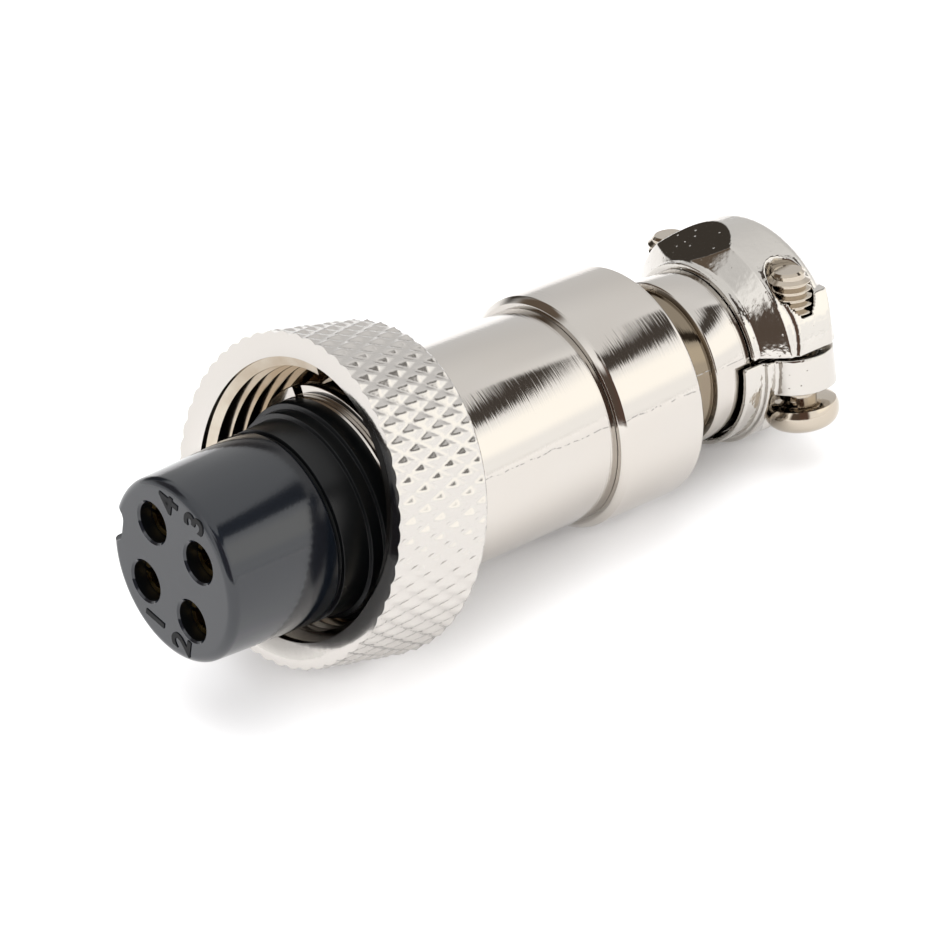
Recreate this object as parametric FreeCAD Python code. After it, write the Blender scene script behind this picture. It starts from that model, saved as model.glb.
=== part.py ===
import FreeCAD, Part
import math
import os

from FreeCAD import Vector

# Circular cable plug with a coupling nut, four socket contacts and a two-jaw cable clamp.
# Millimetres, +Z up. The plug's axis is X, with +X out of the mating face, and the
# origin is the centre of that face.

# General clearances, and how far a cutter runs past the surface that it cuts
running_gap = 0.06
seat_gap = 0.05
loose_gap = 0.22
overcut = 1.0

# Front sleeve, a turned tube with a ring groove in front and a thread behind
sleeve_r = 6.38
sleeve_wall = 1.13
sleeve_length = 15.6
rim_length = 0.45
rim_chamfer = 0.15
tail_step = 0.4
tail_length = 4.2
relief_depth = 0.23
relief_length = 0.6

# Insert, a black moulding that carries the contacts
nose_length = 9.3
nose_taper = 0.32
nose_edge_round = 0.55
nose_step = 0.3
collar_t = 0.75
collar_step = 0.32
shoulder_t = 1.0
shoulder_set_in = 0.04
insert_tail_length = 6.5
key_width = 2.3
key_depth = 0.95
key_floor_round = 0.69
key_angle = 170.0

# Socket contacts, turned, slit at the mouth and hollowed as solder cups behind
contact_circle_r = 2.9
contact_first_angle = 215.0
contact_step = -90.0
contact_count = 4
contact_bore_r = 0.8
contact_wall = 0.35
contact_bore_depth = 7.0
contact_recess = 0.9
contact_slit = 0.25
contact_slit_length = 5.0
contact_stop_step = 0.4
contact_stop_t = 0.6
cup_step = 0.1
cup_wall = 0.3
cup_length = 3.8
cup_floor_t = 0.9
cup_window = 2.0

# Split ring that keeps the coupling nut on the sleeve
ring_height = 0.57
ring_t = 0.62
ring_groove_depth = 0.4
ring_split = 0.9
ring_split_angle = 118.0

# Coupling nut, which hangs askew on the sleeve until it is screwed up
nut_length = 6.65
nut_front_chamfer = 0.12
nut_rear_chamfer = 0.38
nut_rim_width = 1.0
mouth_step = 1.04
mouth_depth = 0.55
ring_room = 0.51
lip_t = 0.65
lip_clearance = 0.36
nut_askew = 13.3
nut_set_back = 2.09
nut_hang_from_rear = 0.42

# Knurl on the nut: rows of long diamonds, crossed at about 30 degrees
knurl_count = 52
knurl_row = 1.07
knurl_depth = 0.2

# Back shell with its neck
shell_gap = 0.3
shell_length = 6.15
shell_wall = 0.96
shell_floor_t = 1.1
shell_thread_clearance = 0.06
shell_front_chamfer = 0.18
shell_rear_round = 0.3
throat_length = 2.35
throat_wall = 1.35
cable_bore_r = 3.2
neck_wall = 1.8
neck_length = 3.05
neck_chamfer = 0.25
grip_groove_wall = 1.2
grip_groove_width = 0.75
neck_flange_height = 0.45
neck_flange_t = 0.8

# Cable clamp: two jaws on two screws, turned a little about the plug's axis
clamp_roll = 9.85
jaw_collar_height = 0.35
jaw_collar_length = 0.55
jaw_slope_length = 1.3
jaw_flat_length = 3.1
upper_jaw_height = 1.5
lower_jaw_height = 0.85
jaw_edge_round = 0.45
jaw_rear_length = 1.4
jaw_grip_relief = 0.3
jaw_pocket_gap = 0.25
jaw_rib_height = 0.5
jaw_rib_width = 0.6
jaw_rib_places = (0.3, 0.75)
seam_gap = 0.3
lug_r = 2.2
upper_lug_top = 3.05
lug_bevel_out = 52.6
lug_bevel_up = 22.5
lug_lip = 0.35
lower_lug_t = 2.1
lip_overlap = 0.85
lip_wall = 0.3

# Clamp screws
screw_r = 1.25
screw_clearance = 0.17
screw_side_wall = 0.28
screw_front_wall = 0.13
screw_stand = 1.9
screw_tip_chamfer = 0.25
screw_slack = 0.8
screw_head_r = 2.2
screw_head_t = 1.8
screw_head_round = 0.9
recess_length = 2.5
recess_width = 0.5
recess_depth = 0.9
recess_point = 0.5

AXIS_X = Vector(1, 0, 0)
AXIS_Y = Vector(0, 1, 0)
AXIS_Z = Vector(0, 0, 1)
ORIGIN = Vector(0, 0, 0)

# Radii that follow from the sizes above
sleeve_bore_r = sleeve_r - sleeve_wall
tail_thread_r = sleeve_r - tail_step
tail_relief_r = tail_thread_r - relief_depth
insert_tail_r = sleeve_bore_r - seat_gap
shoulder_r = sleeve_r - shoulder_set_in
collar_r = shoulder_r - collar_step
nose_base_r = collar_r - nose_step
nose_front_r = nose_base_r - nose_taper
contact_r = contact_bore_r + contact_wall
contact_stop_r = contact_r + contact_stop_step
cup_r = contact_r - cup_step
ring_r = sleeve_r + ring_height
ring_groove_r = sleeve_r - ring_groove_depth
lip_bore_r = sleeve_r + lip_clearance
thread_minor_r = ring_r + ring_room
mouth_r = thread_minor_r + mouth_step
nut_r = mouth_r + nut_rim_width
shell_bore_r = tail_thread_r + shell_thread_clearance
shell_r = shell_bore_r + shell_wall
throat_r = cable_bore_r + throat_wall
neck_r = cable_bore_r + neck_wall
grip_groove_r = cable_bore_r + grip_groove_wall
neck_flange_r = grip_groove_r + neck_flange_height
jaw_collar_bore_r = grip_groove_r + running_gap
jaw_collar_r = neck_r + jaw_collar_height
upper_jaw_r = neck_r + upper_jaw_height
lower_jaw_r = neck_r + lower_jaw_height
jaw_grip_r = cable_bore_r + jaw_grip_relief
jaw_pocket_r = neck_flange_r + jaw_pocket_gap
screw_hole_r = screw_r + screw_clearance

# Places along the plug, from the mating face to the rear
face_x = 0.0
nose_base_x = face_x - nose_length
collar_x = nose_base_x - collar_t
sleeve_front_x = collar_x - shoulder_t
ring_front_x = sleeve_front_x - rim_length
ring_rear_x = ring_front_x - ring_t
nut_hang_x = ring_rear_x - nut_set_back
insert_rear_x = sleeve_front_x - insert_tail_length
contact_front_x = face_x - contact_recess
cup_rear_x = insert_rear_x - cup_length
sleeve_rear_x = sleeve_front_x - sleeve_length
tail_rear_x = sleeve_rear_x - tail_length
shell_front_x = sleeve_rear_x - shell_gap
shell_rear_x = shell_front_x - shell_length
shell_cavity_rear_x = shell_rear_x + shell_floor_t
neck_front_x = shell_rear_x - throat_length
neck_rear_x = neck_front_x - neck_length
grip_groove_x = neck_rear_x - grip_groove_width
neck_end_x = grip_groove_x - neck_flange_t
jaw_body_x = neck_rear_x - jaw_collar_length
jaw_pocket_rear_x = neck_end_x - jaw_pocket_gap
screw_x = jaw_pocket_rear_x - screw_front_wall - screw_hole_r
jaw_rear_x = screw_x - jaw_rear_length

# Places across the clamp, from the plug's axis and the seam
screw_y = jaw_grip_r + screw_side_wall + screw_hole_r
lower_lug_bottom = -seam_gap - lower_lug_t
head_seat_z = lower_lug_bottom - screw_slack
screw_tip_z = upper_lug_top + screw_stand


def revolved(points):
    """Solid of revolution about X from (x, radius) points."""
    corners = [Vector(x, 0, r) for x, r in points]
    corners.append(corners[0])
    face = Part.Face(Part.makePolygon(corners))
    return face.revolve(ORIGIN, AXIS_X, 360)


def tube(front_x, rear_x, outer_r, inner_r):
    """Plain tube about X between two stations."""
    return revolved([(front_x, inner_r), (front_x, outer_r), (rear_x, outer_r), (rear_x, inner_r)])


def rod(front_x, rear_x, radius, y=0.0, z=0.0):
    """Cylinder along X between two stations."""
    return Part.makeCylinder(radius, front_x - rear_x, Vector(rear_x, y, z), AXIS_X)


def rim_edges(shape, x, radius):
    """Round edges of a turned piece at one station and radius."""
    found = []
    for edge in shape.Edges:
        curve = edge.Curve
        if not isinstance(curve, Part.Circle):
            continue
        if abs(curve.Center.x - x) < 1e-4 and abs(curve.Radius - radius) < 1e-4:
            found.append(edge)
    return found


def level_edges(shape, z):
    """Edges of an upright piece that lie at one height."""
    return [e for e in shape.Edges if abs(e.BoundBox.ZMin - z) + abs(e.BoundBox.ZMax - z) < 1e-4]


def polar(radius, angle):
    """Place on a circle about X, counted from +Y towards +Z."""
    turn = math.radians(angle)
    return radius * math.cos(turn), radius * math.sin(turn)


def contact_angle(number):
    """Angle of one contact, numbered from 1."""
    return contact_first_angle + contact_step * (number - 1)


def rolled(shape):
    """Turn a clamp piece from upright to its place about the plug's axis."""
    placed = shape.copy()
    placed.rotate(ORIGIN, AXIS_X, clamp_roll)
    return placed


def make_insert():
    profile = [(insert_rear_x, 0), (insert_rear_x, insert_tail_r), (sleeve_front_x, insert_tail_r)]
    profile += [(sleeve_front_x, shoulder_r), (collar_x, shoulder_r), (collar_x, collar_r)]
    profile += [(nose_base_x, collar_r), (nose_base_x, nose_base_r)]
    profile += [(face_x, nose_front_r), (face_x, 0)]
    body = revolved(profile)
    body = body.makeFillet(nose_edge_round, rim_edges(body, face_x, nose_front_r))
    key_floor_r = nose_front_r - key_depth
    key = Part.makeBox(face_x - collar_x + overcut, key_depth + 2 * overcut, key_width)
    key.translate(Vector(collar_x, key_floor_r, -key_width / 2))
    key = key.makeFillet(key_floor_round, [e for e in key.Edges if is_key_floor_edge(e, key_floor_r)])
    key.rotate(ORIGIN, AXIS_X, key_angle)
    body = body.cut(key)
    holes = []
    for number in range(1, contact_count + 1):
        y, z = polar(contact_circle_r, contact_angle(number))
        holes.append(rod(face_x + overcut, insert_rear_x - overcut, contact_r + seat_gap, y, z))
        stop_x = insert_rear_x + contact_stop_t
        holes.append(rod(stop_x, insert_rear_x - overcut, contact_stop_r + seat_gap, y, z))
    return body.cut(holes)


def is_key_floor_edge(edge, floor_r):
    """Long edges of the keyway cutter at its floor."""
    middle = edge.BoundBox.Center
    return abs(middle.y - floor_r) < 1e-4 and edge.BoundBox.XLength > key_width


def make_contact(number):
    y, z = polar(contact_circle_r, contact_angle(number))
    stop_x = insert_rear_x + contact_stop_t
    body = rod(contact_front_x, insert_rear_x, contact_r)
    body = body.fuse(rod(stop_x, insert_rear_x, contact_stop_r))
    body = body.fuse(rod(insert_rear_x, cup_rear_x, cup_r)).removeSplitter()
    bore = rod(contact_front_x + overcut, contact_front_x - contact_bore_depth, contact_bore_r)
    cup = rod(insert_rear_x - cup_floor_t, cup_rear_x - overcut, cup_r - cup_wall)
    slit = Part.makeBox(contact_slit_length + overcut, 2 * (contact_r + overcut), contact_slit)
    slit.translate(Vector(contact_front_x - contact_slit_length, -contact_r - overcut, -contact_slit / 2))
    window = Part.makeBox(cup_window + overcut, 2 * (cup_r + overcut), cup_r + overcut)
    window.translate(Vector(cup_rear_x - overcut, -cup_r - overcut, 0))
    body = body.cut([bore, cup, slit, window])
    body.translate(Vector(0, y, z))
    return body


def make_front_sleeve():
    profile = [(sleeve_front_x, sleeve_bore_r), (sleeve_front_x, sleeve_r - rim_chamfer)]
    profile += [(sleeve_front_x - rim_chamfer, sleeve_r), (ring_front_x, sleeve_r)]
    profile += [(ring_front_x, ring_groove_r), (ring_rear_x, ring_groove_r), (ring_rear_x, sleeve_r)]
    profile += [(sleeve_rear_x + rim_chamfer, sleeve_r), (sleeve_rear_x, sleeve_r - rim_chamfer)]
    profile += [(sleeve_rear_x, tail_relief_r), (sleeve_rear_x - relief_length, tail_relief_r)]
    profile += [(sleeve_rear_x - relief_length, tail_thread_r), (tail_rear_x + rim_chamfer, tail_thread_r)]
    profile += [(tail_rear_x, tail_thread_r - rim_chamfer), (tail_rear_x, sleeve_bore_r)]
    return revolved(profile)


def make_retaining_ring():
    ring = tube(ring_front_x, ring_rear_x, ring_r, ring_groove_r)
    gap = Part.makeBox(ring_t + 2 * overcut, ring_r, ring_split)
    gap.translate(Vector(ring_rear_x - overcut, ring_groove_r - overcut, -ring_split / 2))
    gap.rotate(ORIGIN, AXIS_X, ring_split_angle)
    return ring.cut(gap)


def knurl_corner(row, step, radius):
    """Corner of the knurl's lattice: rows run rearward, steps run half a pitch round."""
    y, z = polar(radius, 180.0 * step / knurl_count)
    return Vector(-row * knurl_row, y, z)


def triangle(first, second, third):
    return Part.Face(Part.makePolygon([first, second, third, first]))


def diamond(row, step):
    """Low four-sided pyramid of the knurl, with its peak at the nut's radius."""
    root_r = nut_r - knurl_depth
    peak = knurl_corner(row, step, nut_r)
    places = ((row - 1, step), (row, step + 1), (row + 1, step), (row, step - 1), (row - 1, step))
    ring = [knurl_corner(there, turn, root_r) for there, turn in places]
    return [triangle(peak, ring[side], ring[side + 1]) for side in range(4)]


def bar_end(row, step, inner_row):
    """Sector of the knurled bar's flat end, with the half facet that closes the skin."""
    root_r = nut_r - knurl_depth
    left = knurl_corner(row, step - 1, root_r)
    right = knurl_corner(row, step + 1, root_r)
    inner = knurl_corner(inner_row, step, root_r)
    return [triangle(left, right, inner), triangle(left, right, knurl_corner(row, step, 0))]


def knurled_bar():
    """Solid bar a little longer than the nut, with the diamond knurl all round."""
    first = -1
    last = math.ceil(nut_length / knurl_row) + 1
    faces = []
    for row in range(first, last + 1):
        for step in range((row + 1) % 2, 2 * knurl_count, 2):
            if row == first:
                faces += bar_end(row, step, row + 1)
            elif row == last:
                faces += bar_end(row, step, row - 1)
            else:
                faces += diamond(row, step)
    return Part.Solid(Part.makeShell(faces))


def make_coupling_nut():
    lip_front = -nut_length + lip_t
    profile = [(0, mouth_r), (0, nut_r - nut_front_chamfer)]
    profile += [(-nut_front_chamfer - overcut, nut_r + overcut)]
    profile += [(-nut_length + nut_rear_chamfer + overcut, nut_r + overcut)]
    profile += [(-nut_length, nut_r - nut_rear_chamfer)]
    profile += [(-nut_length, lip_bore_r), (lip_front, lip_bore_r), (lip_front, thread_minor_r)]
    profile += [(-mouth_depth, thread_minor_r)]
    nut = knurled_bar().common(revolved(profile))
    nut.translate(Vector(nut_hang_x + nut_length - nut_hang_from_rear, 0, 0))
    nut.rotate(Vector(nut_hang_x, 0, 0), AXIS_Y, -nut_askew)
    return nut


def make_back_shell():
    front, rear = shell_front_x, shell_rear_x
    profile = [(front, shell_bore_r), (front, shell_r - shell_front_chamfer)]
    profile += [(front - shell_front_chamfer, shell_r), (rear, shell_r), (rear, throat_r)]
    profile += [(neck_front_x, throat_r), (neck_front_x, neck_r - neck_chamfer)]
    profile += [(neck_front_x - neck_chamfer, neck_r), (neck_rear_x, neck_r)]
    profile += [(neck_rear_x, grip_groove_r), (grip_groove_x, grip_groove_r)]
    profile += [(grip_groove_x, neck_flange_r), (neck_end_x, neck_flange_r), (neck_end_x, cable_bore_r)]
    profile += [(shell_cavity_rear_x, cable_bore_r), (shell_cavity_rear_x, shell_bore_r)]
    shell = revolved(profile)
    return shell.makeFillet(shell_rear_round, rim_edges(shell, rear, shell_r))


def jaw_half(outer, upper):
    """Keep the half of a turned jaw blank on one side of the seam."""
    size = 4 * upper_jaw_r
    floor = 0.0 if upper else -seam_gap - size
    block = Part.makeBox(size, size, size, Vector(jaw_rear_x - size / 4, -size / 2, floor))
    return outer.common(block)


def jaw_hollow():
    """Cable passage and the pocket that holds the neck's flange."""
    passage = rod(neck_rear_x + overcut, jaw_rear_x - overcut, jaw_grip_r)
    pocket = rod(grip_groove_x + jaw_pocket_gap, jaw_pocket_rear_x, jaw_pocket_r)
    ribs = []
    for share in jaw_rib_places:
        x = jaw_pocket_rear_x + share * (jaw_rear_x - jaw_pocket_rear_x)
        inner_r = jaw_grip_r - jaw_rib_height
        ribs.append(tube(x + jaw_rib_width / 2, x - jaw_rib_width / 2, jaw_grip_r + overcut, inner_r))
    return passage.cut(ribs).fuse(pocket)


def lug(side, bottom, top):
    """Rounded screw lug with the web that ties it to the saddle."""
    y = side * screw_y
    boss = Part.makeCylinder(lug_r, top - bottom, Vector(screw_x, y, bottom), AXIS_Z)
    inner_y = side * jaw_grip_r
    web = Part.makeBox(screw_x + lug_r - jaw_rear_x, abs(y - inner_y), top - bottom)
    web.translate(Vector(jaw_rear_x, min(y, inner_y), bottom))
    return boss.fuse(web)


def bevelled_lug(side):
    """Upper lug under the saddle's slope, with the facet that runs up from the seam to the screw."""
    slope = (upper_jaw_r - jaw_collar_r) / jaw_slope_length
    reach = screw_y + lug_r
    reach_x = jaw_body_x - (reach - jaw_collar_r) / slope
    rear = screw_x - lug_r
    room = revolved([(jaw_body_x, 0), (jaw_body_x, jaw_collar_r), (reach_x, reach), (rear, reach), (rear, 0)])
    size = 4 * lug_r
    facet = Part.makeBox(size, size, size, Vector(0, -size / 2, -size / 2))
    facet.rotate(ORIGIN, AXIS_Y, -lug_bevel_up)
    facet.rotate(ORIGIN, AXIS_Z, lug_bevel_out)
    out = math.radians(lug_bevel_out)
    facet.translate(Vector(screw_x + lug_r * math.cos(out), screw_y + lug_r * math.sin(out), lug_lip))
    if side < 0:
        facet = facet.mirror(ORIGIN, AXIS_Y)
    return lug(side, 0.0, upper_lug_top).common(room).cut(facet)


def make_upper_jaw():
    slope_end = jaw_body_x - jaw_slope_length
    front = neck_rear_x - running_gap
    profile = [(front, 0), (front, jaw_collar_r), (jaw_body_x, jaw_collar_r)]
    profile += [(slope_end, upper_jaw_r), (jaw_rear_x, upper_jaw_r), (jaw_rear_x, 0)]
    blank = revolved(profile)
    blank = blank.makeFillet(jaw_edge_round, rim_edges(blank, jaw_rear_x, upper_jaw_r))
    flat = Part.makeBox(4 * upper_jaw_r, 4 * upper_jaw_r, upper_jaw_r)
    flat.translate(Vector(-4 * upper_jaw_r, -2 * upper_jaw_r, 0))
    flat.rotate(ORIGIN, AXIS_Y, math.degrees(math.atan((upper_jaw_r - jaw_collar_r) / jaw_flat_length)))
    flat.translate(Vector(jaw_body_x, 0, jaw_collar_r))
    body = jaw_half(blank.cut(flat), True)
    for side in (-1, 1):
        body = body.fuse(bevelled_lug(side))
    hollow = jaw_hollow()
    collar_bore = rod(neck_rear_x + overcut, grip_groove_x, jaw_collar_bore_r)
    holes = [screw_bore(side, screw_r + running_gap) for side in (-1, 1)]
    return rolled(body.removeSplitter().cut([hollow, collar_bore] + holes))


def screw_bore(side, radius):
    """Cutter for a clamp screw's hole."""
    length = 4 * upper_jaw_r
    start = Vector(screw_x, side * screw_y, -length / 2)
    return Part.makeCylinder(radius, length, start, AXIS_Z)


def make_lower_jaw():
    lip_x = neck_rear_x + lip_overlap
    lip_bore = neck_r + loose_gap
    profile = [(lip_x, 0), (lip_x, lip_bore + lip_wall), (jaw_body_x, lip_bore + lip_wall)]
    profile += [(jaw_body_x, lower_jaw_r), (jaw_rear_x, lower_jaw_r), (jaw_rear_x, 0)]
    blank = revolved(profile)
    blank = blank.makeFillet(jaw_edge_round, rim_edges(blank, jaw_rear_x, lower_jaw_r))
    body = jaw_half(blank, False)
    for side in (-1, 1):
        y = side * screw_y
        room_base = Vector(screw_x, y, lower_lug_bottom - lower_jaw_r)
        room = Part.makeCylinder(screw_head_r + loose_gap, lower_jaw_r, room_base, AXIS_Z)
        body = body.cut(room).fuse(lug(side, lower_lug_bottom, -seam_gap))
    hollow = jaw_hollow()
    neck_room = rod(lip_x + overcut, neck_rear_x - loose_gap, lip_bore)
    groove_room = rod(neck_rear_x, grip_groove_x, grip_groove_r + loose_gap)
    holes = [screw_bore(side, screw_hole_r) for side in (-1, 1)]
    return rolled(body.removeSplitter().cut([hollow, neck_room, groove_room] + holes))


def recess_arm(head_bottom, turn):
    """One wing pair of the cross recess, narrowing towards the point."""
    top = head_bottom + recess_depth
    outline = [(-recess_length / 2, head_bottom - overcut), (recess_length / 2, head_bottom - overcut)]
    outline += [(recess_length / 2, head_bottom), (recess_point / 2, top)]
    outline += [(-recess_point / 2, top), (-recess_length / 2, head_bottom)]
    corners = [Vector(x, -recess_width / 2, z) for x, z in outline]
    arm = Part.Face(Part.makePolygon(corners + corners[:1])).extrude(Vector(0, recess_width, 0))
    arm.rotate(ORIGIN, AXIS_Z, turn)
    return arm


def make_clamp_screw(side):
    shank = Part.makeCylinder(screw_r, screw_tip_z - head_seat_z, Vector(0, 0, head_seat_z), AXIS_Z)
    shank = shank.makeChamfer(screw_tip_chamfer, level_edges(shank, screw_tip_z))
    head_bottom = head_seat_z - screw_head_t
    head = Part.makeCylinder(screw_head_r, screw_head_t, Vector(0, 0, head_bottom), AXIS_Z)
    head = head.makeFillet(screw_head_round, level_edges(head, head_bottom))
    screw = shank.fuse(head).removeSplitter()
    screw = screw.cut([recess_arm(head_bottom, 0.0), recess_arm(head_bottom, 90.0)])
    screw.translate(Vector(screw_x, side * screw_y, 0))
    return rolled(screw)


def write(name, shape):
    """Save one piece under its node name."""
    shape.exportStep(os.path.join("parts", name + ".step"))
    box = shape.BoundBox
    print(name, "solids", len(shape.Solids), "valid", shape.isValid(), "mm3", round(shape.Volume, 2),
          "x", round(box.XMin, 2), round(box.XMax, 2), "z", round(box.ZMin, 2), round(box.ZMax, 2))


os.makedirs("parts", exist_ok=True)
write("insert", make_insert())
for contact_number in range(1, contact_count + 1):
    write("socket_contact_%d" % contact_number, make_contact(contact_number))
write("front_sleeve", make_front_sleeve())
write("retaining_ring", make_retaining_ring())
write("coupling_nut", make_coupling_nut())
write("back_shell", make_back_shell())
write("upper_clamp_jaw", make_upper_jaw())
write("lower_clamp_jaw", make_lower_jaw())
write("clamp_screw_near", make_clamp_screw(1))
write("clamp_screw_far", make_clamp_screw(-1))
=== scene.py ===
import math

import bmesh
import bpy
from bpy.props import FloatProperty, FloatVectorProperty, IntProperty, PointerProperty
from bpy.types import Operator, Panel, PropertyGroup
from mathutils import Matrix, Vector


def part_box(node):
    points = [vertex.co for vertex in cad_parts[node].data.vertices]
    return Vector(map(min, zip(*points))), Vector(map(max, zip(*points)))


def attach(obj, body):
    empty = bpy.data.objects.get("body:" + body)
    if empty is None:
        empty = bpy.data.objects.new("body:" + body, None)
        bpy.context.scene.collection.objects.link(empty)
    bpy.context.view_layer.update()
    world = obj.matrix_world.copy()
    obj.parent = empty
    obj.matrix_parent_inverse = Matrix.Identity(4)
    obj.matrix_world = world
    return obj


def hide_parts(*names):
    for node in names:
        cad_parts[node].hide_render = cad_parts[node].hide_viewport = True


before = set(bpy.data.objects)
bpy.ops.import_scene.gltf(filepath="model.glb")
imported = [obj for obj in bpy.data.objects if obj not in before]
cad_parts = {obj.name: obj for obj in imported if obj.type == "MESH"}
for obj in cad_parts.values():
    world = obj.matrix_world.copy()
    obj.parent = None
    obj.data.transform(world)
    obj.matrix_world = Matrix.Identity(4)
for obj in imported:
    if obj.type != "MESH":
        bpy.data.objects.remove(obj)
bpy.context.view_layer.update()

bl_info = {
    "name": "Circular cable plug",
    "version": (1, 0, 0),
    "blender": (4, 5, 0),
    "location": "3D View > Sidebar > Cable plug",
    "description": "Four-contact circular cable plug with a knurled coupling nut and a screw clamp",
    "category": "Object",
}

# Pieces are shaped in millimetres, with X along the plug, and scaled to metres when they are finished
METRES = 0.001
AXIS_X = Vector((1, 0, 0))
AXIS_Y = Vector((0, 1, 0))
SHARP_ANGLE = math.radians(32)
ROUND_STEPS = 192
# Easing of a turned piece's corners
EDGE_EASE = 0.03
# How far a cutter reaches past what it cuts
OVERCUT = 1


def linear(hex_colour):
    """sRGB hex as linear RGB."""
    channels = [int(hex_colour[place:place + 2], 16) / 255 for place in (1, 3, 5)]
    return [c / 12.92 if c <= 0.04045 else ((c + 0.055) / 1.055) ** 2.4 for c in channels]


def size(label, text, millimetres):
    """Length property whose default is given in millimetres."""
    return FloatProperty(name=label, description=text, default=millimetres * METRES,
                         subtype="DISTANCE", unit="LENGTH", precision=5)


def angle(label, text, degrees):
    """Angle property whose default is given in degrees."""
    return FloatProperty(name=label, description=text, default=math.radians(degrees),
                         subtype="ANGLE", unit="ROTATION")


def colour(label, text, hex_colour):
    """Colour property whose default is an sRGB hex value."""
    return FloatVectorProperty(name=label, description=text, default=linear(hex_colour),
                               subtype="COLOR", size=3, min=0.0, max=1.0)


class PlugBodySizes(PropertyGroup):
    """Sleeve, insert and split ring."""
    sleeve_radius: size("Sleeve radius", "Outer radius of the front sleeve", 6.38)
    sleeve_bore: size("Sleeve bore", "Inner radius of the front sleeve", 5.25)
    sleeve_front: size("Sleeve front", "Depth of the sleeve's front edge behind the mating face", 11.05)
    sleeve_rear: size("Sleeve rear", "Depth of the sleeve's shoulder", 26.93)
    tail_radius: size("Tail thread radius", "Radius of the thread behind the shoulder", 5.98)
    tail_rear: size("Tail end", "Depth of the thread's end", 30.85)
    ring_radius: size("Ring radius", "Outer radius of the split ring", 6.95)
    ring_front: size("Ring front", "Depth of the split ring's front face", 11.5)
    ring_thickness: size("Ring thickness", "Thickness of the split ring", 0.62)
    ring_groove: size("Ring groove radius", "Radius of the groove that holds the ring", 5.98)
    ring_split: size("Ring split", "Width of the ring's gap", 0.9)
    nose_front_radius: size("Nose front radius", "Radius of the insert at the mating face", 5.4)
    nose_base_radius: size("Nose base radius", "Radius of the insert at the collar", 5.72)
    nose_length: size("Nose length", "Length of the insert's nose", 9.3)
    # Behind this groove the insert gets painted shade from the nut's dark inside
    nose_groove: size("Nose groove", "Depth of the groove that ends the polished part of the nose", 7.3)
    nose_round: size("Nose edge round", "Rounding of the nose's front edge", 0.55)
    collar_radius: size("Collar radius", "Radius of the insert's collar", 6.02)
    shoulder_radius: size("Shoulder radius", "Radius of the insert's shoulder", 6.34)
    insert_tail: size("Insert tail radius", "Radius of the insert inside the sleeve", 5.2)
    insert_rear: size("Insert rear", "Depth of the insert's rear face", 17.55)
    key_width: size("Key width", "Width of the keyway", 2.3)
    key_depth: size("Key depth", "Depth of the keyway", 0.95)
    contact_circle: size("Contact circle", "Radius of the circle that the contacts stand on", 2.9)
    contact_hole: size("Contact hole", "Radius of a contact's hole", 1.2)
    numeral_height: size("Numeral height", "Height of the moulded contact numbers", 1.65)


class CouplingNutSizes(PropertyGroup):
    """Knurled coupling nut."""
    radius: size("Nut radius", "Radius over the knurl's peaks", 9.5)
    length: size("Nut length", "Length of the nut", 6.65)
    front_chamfer: size("Front chamfer", "Chamfer of the front edge", 0.05)
    rear_chamfer: size("Rear chamfer", "Chamfer of the rear edge", 0.38)
    mouth_radius: size("Mouth radius", "Radius of the opening's lead-in", 8.8)
    thread_major: size("Thread major radius", "Radius at the thread's roots", 8.0)
    thread_minor: size("Thread minor radius", "Radius at the thread's crests", 7.46)
    thread_pitch: size("Thread pitch", "Pitch of the coupling thread", 1.0)
    lip_radius: size("Lip radius", "Radius of the rear lip's bore", 6.74)
    lip_thickness: size("Lip thickness", "Thickness of the rear lip", 0.65)
    knurl_row: size("Knurl row", "Distance between staggered rows of diamonds", 1.07)
    knurl_depth: size("Knurl depth", "Height of the diamonds", 0.2)
    knurl_count: IntProperty(name="Knurl count", description="Diamonds round the nut", default=52)
    hang: size("Hang point", "Depth of the point that the nut is tipped about", 14.21)
    hang_depth: size("Hang depth", "Distance from the nut's front to that point", 6.23)
    askew: angle("Askew", "How far the loose nut tips", 13.3)


class BackShellSizes(PropertyGroup):
    """Back shell with its neck."""
    front: size("Shell front", "Depth of the shell's front edge", 26.95)
    rear: size("Shell rear", "Depth of the shell's rear face", 33.1)
    radius: size("Shell radius", "Outer radius of the shell", 7.0)
    bore: size("Shell bore", "Radius of the shell's bore", 6.04)
    floor: size("Shell floor", "Thickness of the shell's rear wall", 1.1)
    throat_radius: size("Throat radius", "Radius of the throat behind the shell", 4.55)
    neck_radius: size("Neck radius", "Radius of the neck", 5.0)
    neck_front: size("Neck front", "Depth of the neck's front edge", 35.9)
    neck_rear: size("Neck rear", "Depth of the neck's rear edge", 38.5)
    groove_radius: size("Groove radius", "Radius of the groove that the jaws grip", 4.4)
    groove_width: size("Groove width", "Width of that groove", 0.75)
    flange_radius: size("Flange radius", "Radius of the end flange", 4.85)
    flange_thickness: size("Flange thickness", "Thickness of the end flange", 0.8)
    cable_bore: size("Cable bore", "Radius of the cable's passage", 3.2)


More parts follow.
